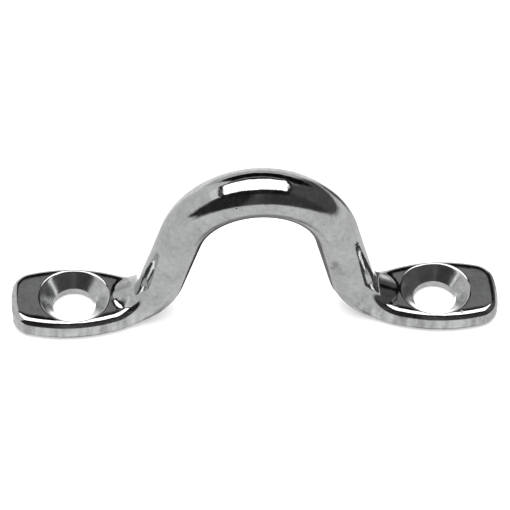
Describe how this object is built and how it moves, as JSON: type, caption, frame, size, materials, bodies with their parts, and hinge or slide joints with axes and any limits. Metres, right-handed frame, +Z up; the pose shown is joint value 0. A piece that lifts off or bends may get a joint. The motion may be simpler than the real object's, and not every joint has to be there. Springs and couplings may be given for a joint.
{
  "type": "fairlead chock",
  "caption": "One-piece polished stainless saddle that arches over a line and leads it fair, with a foot at each end for a countersunk screw.",
  "frame": {"origin": "middle of the underside, on the deck, midway between the two feet", "axes": "+Z up from the deck, +X from foot to foot, +Y through the eye, the way the line runs"},
  "size_m": [0.066, 0.011, 0.025],
  "materials": {
    "polished_stainless": "mirror-polished cast stainless steel, faintly satin on the arch and legs"
  },
  "bodies": {
    "root": {"chock_casting": "polished_stainless"}
  },
  "joints": []
}
